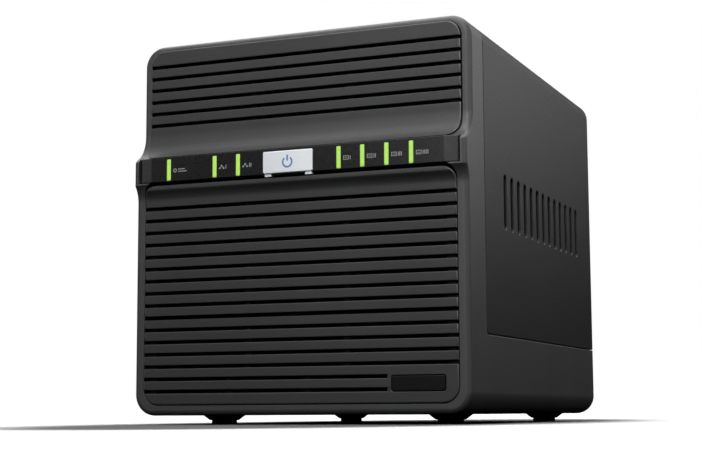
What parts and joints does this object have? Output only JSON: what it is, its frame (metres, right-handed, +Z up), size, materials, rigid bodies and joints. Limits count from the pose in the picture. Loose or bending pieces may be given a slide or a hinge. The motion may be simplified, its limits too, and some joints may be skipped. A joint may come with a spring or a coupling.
{
  "type": "nas enclosure",
  "caption": "Desktop network storage enclosure with a louvred front, a band of status lights and a power button, slide-in drive trays and a fan door that tilts open at the back.",
  "frame": {"origin": "on the desk, under the middle of the footprint", "axes": "+Z up, +Y to the rear, +X to the right of a person facing the louvred front"},
  "size_m": [0.168, 0.2312, 0.184],
  "materials": {
    "charcoal_shell": "fine moulded grain",
    "charcoal_cover": "fine moulded grain",
    "charcoal_front": "fine moulded grain",
    "band_plastic": "satin",
    "silver_plastic": "satin silver paint",
    "green_lens": "translucent light pipe, lit green",
    "black_felt": "thin needled felt",
    "black_rubber": "matte",
    "zinc_steel": "zinc plated sheet",
    "black_steel": "textured powder coat",
    "polished_steel": "nickel plated",
    "guard_wire": "black coated wire",
    "tray_plastic": "fine grain",
    "fan_plastic": "moulded",
    "circuit_board": "green solder mask",
    "socket_plastic": "moulded",
    "port_metal": "tinned shell",
    "aluminium_fins": "extruded"
  },
  "bodies": {
    "enclosure": {"lower_shell": "charcoal_shell", "top_cover": "charcoal_cover", "upper_grille": "charcoal_front", "lower_grille": "charcoal_front", "badge_plate": "band_plastic", "dust_felt_upper": "black_felt", "dust_felt_lower": "black_felt", "indicator_band": "band_plastic", "front_board": "circuit_board", "status_light": "green_lens", "lan_light_1": "green_lens", "lan_light_2": "green_lens", "drive_light_1": "green_lens", "drive_light_2": "green_lens", "drive_light_3": "green_lens", "drive_light_4": "green_lens", "foot_front_left": "black_rubber", "foot_front_right": "black_rubber", "foot_rear_left": "black_rubber", "foot_rear_right": "black_rubber", "drive_cage": "zinc_steel", "backplane": "circuit_board", "drive_socket_1": "socket_plastic", "drive_socket_2": "socket_plastic", "drive_socket_3": "socket_plastic", "drive_socket_4": "socket_plastic", "mainboard": "circuit_board", "heat_sink": "aluminium_fins", "dc_jack": "socket_plastic", "usb_port_1": "port_metal", "usb_port_2": "port_metal", "lan_port_1": "port_metal", "lan_port_2": "port_metal", "io_panel": "black_steel", "lock_slot_plate": "zinc_steel", "rear_crossbar": "zinc_steel", "hinge_pin_left": "polished_steel", "hinge_pin_right": "polished_steel"},
    "power_button": {"power_button": "silver_plastic"},
    "reset_button": {"reset_button": "socket_plastic"},
    "fan_door": {"rear_door": "black_steel", "fan_frame_left": "fan_plastic", "fan_frame_right": "fan_plastic", "fan_guard_left": "guard_wire", "fan_guard_right": "guard_wire"},
    "fan_rotor_left": {"fan_rotor_left": "fan_plastic"},
    "fan_rotor_right": {"fan_rotor_right": "fan_plastic"},
    "thumbscrew_washer_left": {"thumbscrew_washer_left": "polished_steel"},
    "thumbscrew_washer_right": {"thumbscrew_washer_right": "polished_steel"},
    "thumbscrew_left": {"thumbscrew_left": "polished_steel"},
    "thumbscrew_right": {"thumbscrew_right": "polished_steel"},
    "tray_1": {"tray_1": "tray_plastic"},
    "tray_2": {"tray_2": "tray_plastic"},
    "tray_3": {"tray_3": "tray_plastic"},
    "tray_4": {"tray_4": "tray_plastic"}
  },
  "joints": [
    {"name": "power_button_press", "type": "slide", "parent": "enclosure", "child": "power_button", "axis": [0, 1, 0], "range_m": [0, 0.0012], "stiffness_N_per_m": 400},
    {"name": "reset_button_press", "type": "slide", "parent": "enclosure", "child": "reset_button", "axis": [0, -1, 0], "range_m": [0, 0.0005], "stiffness_N_per_m": 400},
    {"name": "fan_door_tilt", "type": "hinge", "parent": "enclosure", "child": "fan_door", "pos_m": [0, 0.109, 0.0424], "axis": [-1, 0, 0], "range_deg": [0, 90]},
    {"name": "fan_spin_left", "type": "hinge", "parent": "fan_door", "child": "fan_rotor_left", "pos_m": [-0.04015, 0.0954, 0.11], "axis": [0, 1, 0], "continuous": true},
    {"name": "fan_spin_right", "type": "hinge", "parent": "fan_door", "child": "fan_rotor_right", "pos_m": [0.04015, 0.0954, 0.11], "axis": [0, 1, 0], "continuous": true},
    {"name": "thumbscrew_lift_left", "type": "slide", "parent": "fan_door", "child": "thumbscrew_washer_left", "axis": [0, 1, 0], "range_m": [0, 0.004]},
    {"name": "thumbscrew_turn_left", "type": "hinge", "parent": "thumbscrew_washer_left", "child": "thumbscrew_left", "pos_m": [-0.072, 0.1125, 0.1715], "axis": [0, 1, 0], "range_deg": [0, 2880]},
    {"name": "thumbscrew_lift_right", "type": "slide", "parent": "fan_door", "child": "thumbscrew_washer_right", "axis": [0, 1, 0], "range_m": [0, 0.004]},
    {"name": "thumbscrew_turn_right", "type": "hinge", "parent": "thumbscrew_washer_right", "child": "thumbscrew_right", "pos_m": [0.072, 0.1125, 0.1715], "axis": [0, 1, 0], "range_deg": [0, 2880]},
    {"name": "tray_slide_1", "type": "slide", "parent": "enclosure", "child": "tray_1", "axis": [0, 1, 0], "range_m": [0, 0.004]},
    {"name": "tray_slide_2", "type": "slide", "parent": "enclosure", "child": "tray_2", "axis": [0, 1, 0], "range_m": [0, 0.004]},
    {"name": "tray_slide_3", "type": "slide", "parent": "enclosure", "child": "tray_3", "axis": [0, 1, 0], "range_m": [0, 0.004]},
    {"name": "tray_slide_4", "type": "slide", "parent": "enclosure", "child": "tray_4", "axis": [0, 1, 0], "range_m": [0, 0.004]}
  ],
  "couplings": [
    {"joint": "thumbscrew_turn_left", "follows": "thumbscrew_lift_left", "rad_per_m": 12566},
    {"joint": "thumbscrew_turn_right", "follows": "thumbscrew_lift_right", "rad_per_m": 12566}
  ]
}
